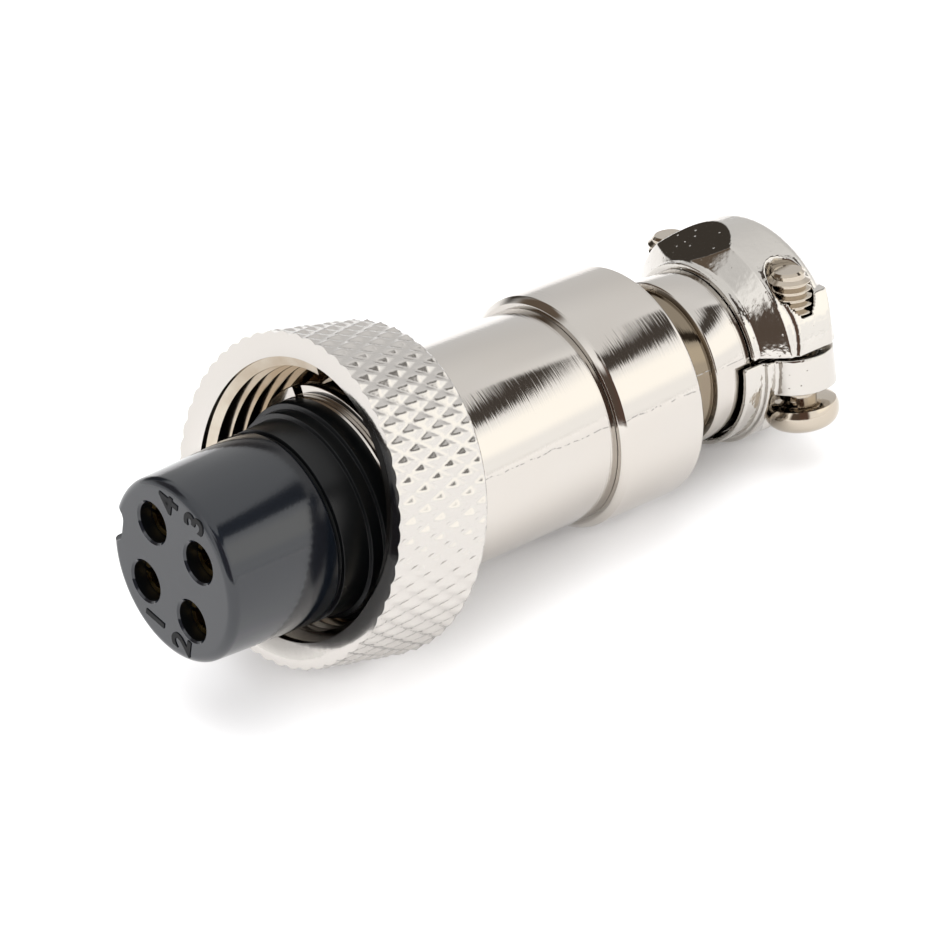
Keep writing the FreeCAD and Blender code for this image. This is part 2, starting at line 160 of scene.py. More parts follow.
class CableClampSizes(PropertyGroup):
    """Two jaws and their screws."""
    roll: angle("Roll", "Turn of the clamp about the plug", 9.85)
    rear: size("Clamp rear", "Depth of the jaws' rear face", 44.0)
    collar_radius: size("Collar radius", "Radius of the upper jaw's front collar", 5.35)
    collar_length: size("Collar length", "Length of the upper jaw's front collar", 0.55)
    slope_length: size("Slope length", "Length of the cone behind the collar", 1.15)
    flat_length: size("Flat length", "Length of the flat that rises behind the collar", 3.0)
    flat_turn: angle("Flat turn", "Turn of that flat towards the far lug", 10)
    upper_radius: size("Upper jaw radius", "Outer radius of the upper jaw", 6.8)
    lower_radius: size("Lower jaw radius", "Outer radius of the lower jaw", 5.85)
    edge_round: size("Edge round", "Rounding of the jaws' rear edge", 0.85)
    grip_radius: size("Grip radius", "Radius of the cable's passage in the jaws", 3.5)
    rib_height: size("Rib height", "Height of the ribs that bite the cable", 0.5)
    rib_width: size("Rib width", "Width of those ribs", 0.6)
    pocket_radius: size("Pocket radius", "Radius of the room round the neck's flange", 5.1)
    seam_height: size("Seam height", "Height of the upper jaw's edge over the plug's axis", 0.5)
    seam: size("Seam", "Gap between the jaws", 0.2)
    lug_radius: size("Lug radius", "Radius of the screw lugs", 2.2)
    upper_lug_top: size("Upper lug top", "Height of the upper lugs over the plug's axis", 3.55)
    lug_set_back: size("Lug set back", "How far the upper lugs stand back from the lower ones", 0.4)
    bevel_out: angle("Bevel out", "Turn of the lug's bevel away from the plug's axis", 52.6)
    bevel_up: angle("Bevel up", "Lean of the lug's bevel", 16)
    bevel_lip: size("Bevel lip", "Height of the lug's edge under the bevel", 0.35)
    bevel_depth: size("Bevel depth", "How far the bevel cuts into the lug", 0.15)
    lower_lug: size("Lower lug", "Thickness of the lower lugs", 2.2)
    lip_overlap: size("Lip overlap", "How far the lower jaw's lip reaches over the neck", 0.85)
    lip_wall: size("Lip wall", "Thickness of that lip", 0.3)
    screw_x: size("Screw depth", "Depth of the screws' axes", 41.85)
    screw_y: size("Screw offset", "Offset of each screw from the middle", 5.2)
    screw_radius: size("Screw radius", "Radius over the screw's thread", 1.25)
    screw_pitch: size("Screw pitch", "Pitch of the screw's thread", 0.45)
    screw_tip: size("Screw tip", "Height of the screw's tip over the plug's axis", 5.1)
    screw_slack: size("Screw slack", "Gap between the head and the lower lug", 1.0)
    head_radius: size("Head radius", "Radius of the screw's head", 2.2)
    head_height: size("Head height", "Height of the screw's head", 1.6)
    recess_length: size("Recess length", "Length of the cross recess", 2.5)
    recess_width: size("Recess width", "Width of the cross recess", 0.5)
    recess_depth: size("Recess depth", "Depth of the cross recess", 0.9)


class PlugFinishes(PropertyGroup):
    """Colours of the plug's finishes."""
    nickel: colour("Nickel plate", "Bright nickel over turned brass", "#BFBBB6")
    # Nickel of the coupling thread; its material darkens it with painted shade further into the bore
    nickel_thread: colour("Thread nickel", "Thin nickel in the coupling thread", "#BDB5A8")
    die_cast: colour("Plated die-casting", "Nickel over a zinc die-casting", "#C1BDB7")
    screw: colour("Screw plate", "Nickel on the clamp screws", "#B5AB9D")
    moulding: colour("Black moulding", "Black phenolic moulding", "#0D1117")
    # Near-black used for the numbers and behind the nose's groove, as painted shade
    numeral: colour("Numerals", "Moulded numbers in shadow", "#060708")
    # Brass darkened well below its own colour as painted shade deep in the contact holes
    brass: colour("Contact brass", "Turned brass contacts", "#8F7747")
    floor: colour("Floor", "White sweep under the plug", "#F4F4F5")


def settings(group):
    """Sizes of one group in millimetres, by name."""
    values = {}
    for key in group.bl_rna.properties.keys():
        if key in ("rna_type", "name"):
            continue
        value = getattr(group, key)
        is_length = group.bl_rna.properties[key].unit == "LENGTH"
        values[key] = value / METRES if is_length else value
    return type("Sizes", (), values)


# Shaping

def rounded_edge(face, radius, ease, steps):
    """Quarter circle from a face out to the full radius; ease is negative on a face that looks forward."""
    turns = [math.pi / 2 * step / steps for step in range(steps + 1)]
    return [(face + ease * (1 - math.cos(turn)), radius - abs(ease) * (1 - math.sin(turn)))
            for turn in turns]


def ridge(front, rear, base, crest, flank, land):
    """Outline of one turn of a thread, with its flat land behind the front flank."""
    return [(front, base), (front - flank, crest), (front - flank - land, crest), (rear, base)]


def outline_mesh(points, ease):
    """Flat closed outline in the XZ plane, with its corners eased."""
    shape = bmesh.new()
    corners = [shape.verts.new((x, 0, r)) for x, r in points]
    shape.faces.new(corners)
    if ease:
        eased = [v for v in corners if v.co.z > ease]
        bmesh.ops.bevel(shape, geom=eased, offset=ease, offset_type="OFFSET", affect="VERTICES",
                        segments=3, profile=0.5, material=-1, clamp_overlap=True)
    return shape


def close_ends(shape):
    """Cap the open ends of a swept outline and turn its skin outwards."""
    rims = [e for e in shape.edges if e.is_boundary]
    bmesh.ops.holes_fill(shape, edges=rims, sides=0)
    bmesh.ops.recalc_face_normals(shape, faces=shape.faces[:])
    return shape


def spin_outline(shape, turn=math.tau, steps=ROUND_STEPS, slide=0.0):
    """Spin an outline about X, with a slide along X at each step, into a closed skin."""
    bmesh.ops.delete(shape, geom=shape.faces[:], context="FACES_ONLY")
    whole = abs(turn - math.tau) < 1e-6 and not slide
    bmesh.ops.spin(shape, geom=shape.edges[:] + shape.verts[:], cent=(0, 0, 0), axis=AXIS_X,
                   dvec=(slide, 0, 0), angle=turn, steps=steps, use_merge=whole, use_normal_flip=False,
                   use_duplicate=False)
    bmesh.ops.remove_doubles(shape, verts=shape.verts[:], dist=1e-4)
    return close_ends(shape)


def turned(points, ease=EDGE_EASE, steps=ROUND_STEPS):
    """Closed turned body from (x, radius) points."""
    return spin_outline(outline_mesh(points, ease), steps=steps)


def helix(points, pitch, turns, steps=96):
    """Closed ridge from an (x, radius) outline that winds about X towards the rear."""
    return spin_outline(outline_mesh(points, 0), math.tau * turns, int(steps * turns), -pitch / steps)


def upright_rod(radius, low, high, x, y, segments=72):
    """Cylinder along Z."""
    rod = bmesh.new()
    middle = Matrix.Translation((x, y, (low + high) / 2))
    bmesh.ops.create_cone(rod, cap_ends=True, cap_tris=False, segments=segments, radius1=radius,
                          radius2=radius, depth=high - low, matrix=middle)
    return rod


def long_rod(radius, front, rear):
    """Cylinder along X."""
    rod = bmesh.new()
    place = Matrix.Translation(((front + rear) / 2, 0, 0)) @ Matrix.Rotation(math.pi / 2, 4, "Y")
    bmesh.ops.create_cone(rod, cap_ends=True, cap_tris=False, segments=ROUND_STEPS, radius1=radius,
                          radius2=radius, depth=front - rear, matrix=place)
    return rod


def block(low, high):
    """Box between two corners."""
    box = bmesh.new()
    low, high = Vector(low), Vector(high)
    scale = Matrix.Diagonal((*(high - low), 1))
    bmesh.ops.create_cube(box, size=1, matrix=Matrix.Translation((low + high) / 2) @ scale)
    return box


def join(target, other):
    """Add another shape's faces to a shape."""
    spare = bpy.data.meshes.new("spare")
    other.to_mesh(spare)
    other.free()
    target.from_mesh(spare)
    bpy.data.meshes.remove(spare)
    return target


def as_object(name, shape):
    """Put a shape into a new object."""
    mesh = bpy.data.meshes.new(name)
    shape.to_mesh(mesh)
    shape.free()
    piece = bpy.data.objects.new(name, mesh)
    bpy.context.scene.collection.objects.link(piece)
    return piece


def as_shape(piece):
    """Take a piece's mesh back as a shape."""
    shape = bmesh.new()
    shape.from_mesh(piece.data)
    return shape


def discard(piece):
    """Remove a piece and its mesh."""
    mesh = piece.data
    bpy.data.objects.remove(piece)
    bpy.data.meshes.remove(mesh)


def apply_modifiers(piece):
    """Make a piece's modifiers part of its mesh."""
    graph = bpy.context.evaluated_depsgraph_get()
    old = piece.data
    piece.data = bpy.data.meshes.new_from_object(piece.evaluated_get(graph))
    piece.modifiers.clear()
    bpy.data.meshes.remove(old)
    return piece


def combine(piece, shapes, operation):
    """Cut, add or keep the common part of shapes on a piece."""
    for shape in shapes:
        tool = as_object("cutter", shape)
        change = piece.modifiers.new("combine", "BOOLEAN")
        change.operation = operation
        change.solver = "EXACT"
        change.object = tool
        apply_modifiers(piece)
        discard(tool)
    return piece


def cast_skin(piece, grain, passes):
    """Give a piece the even, softly rounded skin of a casting."""
    remesh = piece.modifiers.new("skin", "REMESH")
    remesh.mode = "VOXEL"
    remesh.voxel_size = grain
    apply_modifiers(piece)
    soften = piece.modifiers.new("soften", "SMOOTH")
    soften.factor = 0.5
    soften.iterations = passes
    return apply_modifiers(piece)


def finish_piece(piece, material, slot, body, *nodes, place=None, sharp=SHARP_ANGLE):
    """Set a piece in the frame: its place, finish, body and the solid that it stands for."""
    moved = Matrix.Scale(METRES, 4) @ (place or Matrix.Identity(4))
    piece.data.transform(moved)
    piece.data.shade_smooth()
    if sharp:
        piece.data.set_sharp_from_angle(angle=sharp)
    if not piece.data.materials:
        piece.data.materials.append(material)
    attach(piece, body)
    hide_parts(*nodes)
    return piece


# Materials

def add_node(tree, kind, options=None, values=None, links=None):
    """Add a node with its options, socket values and links."""
    node = tree.nodes.new(kind)
    for name, value in (options or {}).items():
        setattr(node, name, value)
    for name, value in (values or {}).items():
        node.inputs[name].default_value = value
    for name, source in (links or {}).items():
        tree.links.new(source, node.inputs[name])
    return node


def tinted(base, *tints):
    """Colour of a finish with each channel weakened."""
    return (*[channel * tint for channel, tint in zip(base, tints)], 1)


def new_material(name, base, metallic=1.0):
    """Material with its colour and share of metal, its shader and the piece's own coordinates."""
    material = bpy.data.materials.new(name)
    material.use_nodes = True
    tree = material.node_tree
    shader = tree.nodes["Principled BSDF"]
    shader.inputs["Base Color"].default_value = (*base, 1)
    shader.inputs["Metallic"].default_value = metallic
    coords = add_node(tree, "ShaderNodeTexCoord")
    return material, tree, shader, coords.outputs["Object"]


def relief(tree, shader, coords, grain, height, detail, under=None):
    """Uneven skin with grains of one size in metres, raised by a height over what lies under it."""
    noise = add_node(tree, "ShaderNodeTexNoise", values={"Scale": 1 / grain, "Detail": detail},
                     links={"Vector": coords})
    bump = add_node(tree, "ShaderNodeBump", values={"Strength": 1.0, "Distance": height},
                    links={"Height": noise.outputs["Fac"]})
    if under:
        tree.links.new(under, bump.inputs["Normal"])
    tree.links.new(bump.outputs["Normal"], shader.inputs["Normal"])
    return noise.outputs["Fac"], bump.outputs["Normal"]


def uneven_gloss(tree, shader, pattern, smooth, rough):
    """Roughness that a pattern moves between two values."""
    gloss = add_node(tree, "ShaderNodeMapRange", values={"To Min": smooth, "To Max": rough},
                     links={"Value": pattern})
    tree.links.new(gloss.outputs["Result"], shader.inputs["Roughness"])


def turned_nickel(name, base, scratch_angle, recess=None):
    """Bright nickel over turned brass: mirror-like bands that the lathe's fine rings make ragged."""
    material, tree, shader, coords = new_material(name, base)
    axes = add_node(tree, "ShaderNodeSeparateXYZ", links={0: coords})
    # Lathe rings about 0.13 mm apart, drawn as coarse as they need to be to show
    rings = add_node(tree, "ShaderNodeTexNoise", {"noise_dimensions": "1D"},
                     {"Scale": 1 / 0.00013, "Detail": 2.0, "Roughness": 0.6}, {"W": axes.outputs["X"]})
    ring_bump = add_node(tree, "ShaderNodeBump", values={"Strength": 1.0, "Distance": 5e-6},
                         links={"Height": rings.outputs["Fac"]})
    # Plating ripple over several millimetres
    relief(tree, shader, coords, 0.004, 8e-6, 1.0, ring_bump.outputs["Normal"])
    # Warm and cool drift of the plating
    drift = add_node(tree, "ShaderNodeTexNoise", values={"Scale": 1 / 0.006, "Detail": 2.0},
                     links={"Vector": coords})
    tone = add_node(tree, "ShaderNodeMix", {"data_type": "RGBA"},
                    {"A": (*base, 1), "B": tinted(base, 1.0, 0.975, 0.94)},
                    {"Factor": drift.outputs["Fac"]})
    surface = tone.outputs["Result"]
    if recess is not None:
        # Painted shade: darker, browner colour in the recess between two radii
        flat = add_node(tree, "ShaderNodeVectorMath", {"operation": "MULTIPLY"}, {1: (0, 1, 1)}, {0: coords})
        radius = add_node(tree, "ShaderNodeVectorMath", {"operation": "LENGTH"}, links={0: flat.outputs[0]})
        recess_shade = add_node(tree, "ShaderNodeMapRange", values={"From Min": recess[1], "From Max": recess[0]},
                          links={"Value": radius.outputs["Value"]})
        surface = add_node(tree, "ShaderNodeMix", {"data_type": "RGBA"},
                           {"B": tinted(base, 0.42, 0.36, 0.28)},
                           {"Factor": recess_shade.outputs["Result"], "A": surface}).outputs["Result"]
    # A handling scratch along the plug, broken into dashes of about 0.3 mm. It wanders by 0.02 radians
    around = add_node(tree, "ShaderNodeMath", {"operation": "ARCTAN2"},
                      links={0: axes.outputs["Z"], 1: axes.outputs["Y"]})
    wander = add_node(tree, "ShaderNodeTexNoise", {"noise_dimensions": "1D"},
                      {"Scale": 1 / 0.0012, "Detail": 1.0}, {"W": axes.outputs["X"]})
    path = add_node(tree, "ShaderNodeMapRange",
                    values={"To Min": scratch_angle - 0.02, "To Max": scratch_angle + 0.02},
                    links={"Value": wander.outputs["Fac"]})
    near = add_node(tree, "ShaderNodeMath", {"operation": "COMPARE"}, {2: 0.006},
                    {0: around.outputs[0], 1: path.outputs["Result"]})
    dash = add_node(tree, "ShaderNodeTexNoise", values={"Scale": 1 / 0.0003, "Detail": 1.0},
                    links={"Vector": coords})
    broken = add_node(tree, "ShaderNodeMapRange", values={"From Min": 0.42, "From Max": 0.56},
                      links={"Value": dash.outputs["Fac"]})
    scratch = add_node(tree, "ShaderNodeMath", {"operation": "MULTIPLY"},
                       links={0: near.outputs[0], 1: broken.outputs["Result"]})
    surface = add_node(tree, "ShaderNodeMix", {"data_type": "RGBA"}, {"B": tinted(base, 0.6, 0.6, 0.6)},
                       {"Factor": scratch.outputs[0], "A": surface}).outputs["Result"]
    tree.links.new(surface, shader.inputs["Base Color"])
    # Fine handling marks that blur the gloss a little
    haze = add_node(tree, "ShaderNodeTexNoise", values={"Scale": 1 / 0.0009, "Detail": 4.0},
                    links={"Vector": coords})
    uneven_gloss(tree, shader, haze.outputs["Fac"], 0.04, 0.11)
    return material


def knurled_nickel(base):
    """Nickel over rolled knurling: soft satin facets, dulled by the torn metal."""
    material, tree, shader, coords = new_material("knurled nickel plate", base)
    # Torn metal from the knurling wheel, grains of about 0.3 mm
    torn, _ = relief(tree, shader, coords, 0.0003, 5e-6, 3.0)
    uneven_gloss(tree, shader, torn, 0.17, 0.26)
    return material


def thread_nickel(base):
    """Nickel in the cut thread: grey at the mouth, with painted shade that turns it darker and browner
    further in.
    """
    material, tree, shader, coords = new_material("thin nickel in the thread", base)
    # Painted shade of the deep bore: darker and browner towards the rear, broken into patches of a millimetre
    # or two
    axes = add_node(tree, "ShaderNodeSeparateXYZ", links={0: coords})
    depth = add_node(tree, "ShaderNodeMapRange", values={"From Min": -0.0095, "From Max": -0.0135},
                     links={"Value": axes.outputs["X"]})
    shade_patches = add_node(tree, "ShaderNodeTexNoise", values={"Scale": 1 / 0.0015, "Detail": 3.0},
                     links={"Vector": coords})
    bore_shade_raw = add_node(tree, "ShaderNodeMath", {"operation": "MULTIPLY_ADD", "use_clamp": True}, {1: 0.8},
                    {0: shade_patches.outputs["Fac"], 2: depth.outputs["Result"]})
    bore_shade = add_node(tree, "ShaderNodeMath", {"operation": "SUBTRACT", "use_clamp": True}, {1: 0.25},
                       {0: bore_shade_raw.outputs[0]})
    # Colour of the painted shade deep in the bore
    tone = add_node(tree, "ShaderNodeMix", {"data_type": "RGBA"},
                    {"A": (*base, 1), "B": tinted(base, 0.42, 0.3, 0.17)}, {"Factor": bore_shade.outputs[0]})
    tree.links.new(tone.outputs["Result"], shader.inputs["Base Color"])
    shader.inputs["Roughness"].default_value = 0.13
    return material


def cast_nickel(base):
    """Nickel over a zinc die-casting: liquid gloss over an uneven skin with pin-sized pits."""
    material, tree, shader, coords = new_material("plated die-casting", base)
    shader.inputs["Roughness"].default_value = 0.09
    # Uneven casting skin, waves of about 1.2 mm, under the plating's orange peel of about 0.3 mm
    _, waves = relief(tree, shader, coords, 0.0012, 3.6e-5, 2.0)
    _, peel = relief(tree, shader, coords, 0.0003, 1.1e-5, 2.0, waves)
    # Pits and blisters under 0.1 mm, in a third of the 0.4 mm cells
    cells = add_node(tree, "ShaderNodeTexVoronoi", {"feature": "F1"}, {"Scale": 1 / 0.0004},
                     {"Vector": coords})
    pits = add_node(tree, "ShaderNodeMapRange", {"interpolation_type": "SMOOTHSTEP"},
                    {"From Min": 0.2, "From Max": 0.05}, {"Value": cells.outputs["Distance"]})
    chance = add_node(tree, "ShaderNodeSeparateColor", links={"Color": cells.outputs["Color"]})
    chosen = add_node(tree, "ShaderNodeMath", {"operation": "GREATER_THAN"}, {1: 0.62},
                      {0: chance.outputs["Red"]})
    deep = add_node(tree, "ShaderNodeMath", {"operation": "MULTIPLY"},
                    links={0: pits.outputs["Result"], 1: chosen.outputs[0]})
    pit_bump = add_node(tree, "ShaderNodeBump", {"invert": True}, {"Strength": 1.0, "Distance": 1.6e-5},
                        {"Height": deep.outputs[0], "Normal": peel})
    tree.links.new(pit_bump.outputs["Normal"], shader.inputs["Normal"])
    return material


def screw_nickel(name, base):
    """Barrel-plated nickel: warm, with small dents from the barrel."""
    material, tree, shader, coords = new_material(name, base)
    dents, _ = relief(tree, shader, coords, 0.0006, 6e-6, 3.0)
    uneven_gloss(tree, shader, dents, 0.06, 0.14)
    return material


def black_moulding(base):
    """Black phenolic moulding: blue-grey sheen under a glossy skin with cloudy handling marks."""
    material, tree, shader, coords = new_material("black phenolic moulding", base, 0.0)
    shader.inputs["IOR"].default_value = 1.6
    # Skin texture of the mould, about 0.18 mm
    relief(tree, shader, coords, 0.00018, 2e-6, 3.0)
    cloud = add_node(tree, "ShaderNodeTexNoise", values={"Scale": 1 / 0.003, "Detail": 3.0},
                     links={"Vector": coords})
    uneven_gloss(tree, shader, cloud.outputs["Fac"], 0.08, 0.15)
    return material


def plain_finish(name, base, roughness, metallic=0.0, ior=1.5):
    """One even finish with a faint mottle of its gloss."""
    material, tree, shader, coords = new_material(name, base, metallic)
    if not metallic:
        shader.inputs["IOR"].default_value = ior
    mottle = add_node(tree, "ShaderNodeTexNoise", values={"Scale": 1 / 0.001, "Detail": 2.0},
                      links={"Vector": coords})
    uneven_gloss(tree, shader, mottle.outputs["Fac"], roughness - 0.05, roughness + 0.05)
    return material


# Pieces

class PLUG_OT_insert(Operator):
    """Black insert with its keyway, contact holes and moulded numbers"""
    bl_idname = "plug.insert"
    bl_label = "Insert and contacts"

    NUMERALS = (("1", -1.5, -3.7), ("2", 0.8, -4.2), ("3", 2.2, 4.05), ("4", -0.05, 4.25))
    KEY_ANGLE = math.radians(170)
    FIRST_CONTACT = math.radians(215)
    COLLAR_LENGTH = 0.75
    GROOVE = 0.3
    HOLE_LEAD = 0.12
    HOLE_STEPS = 64
    KEY_ROUND = 0.3
    NUMERAL_RISE = 0.05
    NUMERAL_BOLD = 0.05
    FONT_SIZE = 1.35

    def body(self, s):
        edge = s.nose_length + self.COLLAR_LENGTH
        taper = (s.nose_base_radius - s.nose_front_radius) * s.nose_groove / s.nose_length
        mid = s.nose_front_radius + taper
        groove = self.GROOVE
        points = [(0, 0)] + rounded_edge(0, s.nose_front_radius, -s.nose_round, 8)
        points += [(-s.nose_groove + groove / 2, mid)]
        points += [(-s.nose_groove, mid - groove / 3), (-s.nose_groove, mid - groove)]
        points += [(-s.nose_groove - groove, mid - groove), (-s.nose_groove - groove, mid)]
        points += [(-s.nose_length, s.nose_base_radius)]
        points += [(-s.nose_length, s.collar_radius), (-edge, s.collar_radius)]
        points += [(-edge, s.shoulder_radius), (-s.sleeve_front, s.shoulder_radius)]
        points += [(-s.sleeve_front, s.insert_tail), (-s.insert_rear, s.insert_tail), (-s.insert_rear, 0)]
        return as_object("plug_insert", turned(points))

    def keyway(self, s):
        floor = s.nose_front_radius - s.key_depth
        key = block((-s.nose_length - self.COLLAR_LENGTH, floor, -s.key_width / 2),
                    (OVERCUT, floor + 3 * OVERCUT, s.key_width / 2))
        corners = [e for e in key.edges if all(abs(v.co.y - floor) < 1e-4 for v in e.verts)
                   and abs(e.verts[0].co.x - e.verts[1].co.x) > s.nose_length]
        bmesh.ops.bevel(key, geom=corners, offset=s.key_width * self.KEY_ROUND, affect="EDGES", segments=8,
                        profile=0.5, material=-1)
        bmesh.ops.rotate(key, verts=key.verts[:], matrix=Matrix.Rotation(self.KEY_ANGLE, 3, "X"))
        return key

    def contact_hole(self, s, number):
        turn = self.FIRST_CONTACT - math.pi / 2 * number
        lead, rear = self.HOLE_LEAD, -s.insert_rear - OVERCUT
        points = [(OVERCUT, 0), (OVERCUT, s.contact_hole + lead + OVERCUT), (-lead, s.contact_hole)]
        points += [(rear, s.contact_hole), (rear, 0)]
        hole = turned(points, ease=0, steps=self.HOLE_STEPS)
        centre = Vector((0, s.contact_circle * math.cos(turn), s.contact_circle * math.sin(turn)))
        bmesh.ops.translate(hole, verts=hole.verts[:], vec=centre)
        return hole

    def numeral(self, s, text, y, z):
        """One moulded number, upright towards the keyway and a hair proud of the face."""
        curve = bpy.data.curves.new("numeral", "FONT")
        curve.body = text
        curve.size = s.numeral_height * self.FONT_SIZE
        curve.align_x = "CENTER"
        curve.align_y = "CENTER"
        curve.extrude = self.NUMERAL_RISE
        curve.offset = self.NUMERAL_BOLD
        letter = bpy.data.objects.new("numeral", curve)
        bpy.context.scene.collection.objects.link(letter)
        graph = bpy.context.evaluated_depsgraph_get()
        mesh = bpy.data.meshes.new_from_object(letter.evaluated_get(graph))
        bpy.data.objects.remove(letter)
        bpy.data.curves.remove(curve)
        upward = Vector((0, math.cos(self.KEY_ANGLE), math.sin(self.KEY_ANGLE)))
        across = upward.cross(AXIS_X)
        turn = Matrix((across, upward, AXIS_X)).transposed().to_4x4()
        mesh.transform(Matrix.Translation((0, y, z)) @ turn)
        return mesh

    def execute(self, context):
        s = settings(context.scene.plug_body)
        finishes = context.scene.plug_finishes
        materials = (black_moulding(finishes.moulding),
                     # Numbers given near-black colour and weak reflection as painted shade
                     plain_finish("moulded number", finishes.numeral, 0.4, ior=1.22),
                     # Insert behind the nose's groove: darker and weakly reflecting, as painted shade from
                     # the nut's inside
                     plain_finish("unpolished moulding", finishes.numeral, 0.3, ior=1.38))
        piece = self.body(s)
        cutters = [self.keyway(s)] + [self.contact_hole(s, number) for number in range(4)]
        combine(piece, cutters, "DIFFERENCE")
        piece.data.materials.clear()
        for material in materials:
            piece.data.materials.append(material)
        # Faces behind the groove take that painted shade
        shade_start = -s.nose_groove - self.GROOVE / 3
        for face in piece.data.polygons:
            face.material_index = 2 if face.center.x < shade_start else 0
        whole = as_shape(piece)
        for text, y, z in self.NUMERALS:
            mesh = self.numeral(s, text, y, z)
            before = len(whole.faces)
            whole.from_mesh(mesh)
            whole.faces.ensure_lookup_table()
            for face in whole.faces[before:]:
                face.material_index = 1
            bpy.data.meshes.remove(mesh)
        whole.to_mesh(piece.data)
        whole.free()
        finish_piece(piece, None, "insert_moulding", "sleeve", "insert")
        # Contacts darkened as painted shade deep in their holes
        brass = plain_finish("turned brass contact", finishes.brass, 0.28, 1.0)
        for number in range(1, 5):
            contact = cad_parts["socket_contact_%d" % number]
            contact.data.materials.clear()
            contact.data.materials.append(brass)
        return {"FINISHED"}


class PLUG_OT_sleeve(Operator):
    """Turned front sleeve and the split ring in its groove"""
    bl_idname = "plug.sleeve"
    bl_label = "Front sleeve and split ring"

    RIM_CHAMFER = 0.15
    SCRATCH_ANGLE = math.radians(18)
    RELIEF = 0.6
    RELIEF_RADIUS = 5.75
    SPLIT_ANGLE = math.radians(118)
    THREAD_PITCH = 0.75
    THREAD_DEPTH = 0.35
    THREAD_LAND = 0.08
    # Width of a flank as a share of the pitch
    THREAD_FLANK = 0.46
    RING_EASE = 0.06
    THREAD_ROOT_OVERLAP = 0.05

    def execute(self, context):
        s = settings(context.scene.plug_body)
        finishes = context.scene.plug_finishes
        nickel = turned_nickel("turned nickel plate", finishes.nickel, self.SCRATCH_ANGLE)
        ring_rear = s.ring_front + s.ring_thickness
        rim = self.RIM_CHAMFER
        root = s.tail_radius - self.THREAD_DEPTH
        relief_end = -s.sleeve_rear - self.RELIEF
        points = [(-s.sleeve_front, s.sleeve_bore), (-s.sleeve_front, s.sleeve_radius - rim)]
        points += [(-s.sleeve_front - rim, s.sleeve_radius), (-s.ring_front, s.sleeve_radius)]
        points += [(-s.ring_front, s.ring_groove), (-ring_rear, s.ring_groove), (-ring_rear, s.sleeve_radius)]
        points += [(-s.sleeve_rear, s.sleeve_radius), (-s.sleeve_rear, self.RELIEF_RADIUS)]
        points += [(relief_end, self.RELIEF_RADIUS), (relief_end, root)]
        points += [(-s.tail_rear, root), (-s.tail_rear, s.sleeve_bore)]
        body = turned(points)
        flank = self.THREAD_PITCH * self.THREAD_FLANK
        section = ridge(relief_end, relief_end - 2 * flank, root - self.THREAD_ROOT_OVERLAP,
                        s.tail_radius, flank, self.THREAD_LAND)
        turns = (s.tail_rear - s.sleeve_rear - self.RELIEF) / self.THREAD_PITCH - 1
        piece = as_object("plug_sleeve", join(body, helix(section, self.THREAD_PITCH, turns)))
        finish_piece(piece, nickel, "nickel_plate", "sleeve", "front_sleeve")

        gap = s.ring_split / s.ring_radius
        section = [(-s.ring_front, s.ring_groove), (-s.ring_front, s.ring_radius)]
        section += [(-ring_rear, s.ring_radius), (-ring_rear, s.ring_groove)]
        ring = spin_outline(outline_mesh(section, self.RING_EASE), turn=math.tau - gap)
        start = Matrix.Rotation(self.SPLIT_ANGLE - math.pi / 2 + gap / 2, 4, "X")
        split_ring = as_object("plug_split_ring", ring)
        finish_piece(split_ring, nickel, "nickel_plate", "sleeve", "retaining_ring", place=start)
        return {"FINISHED"}


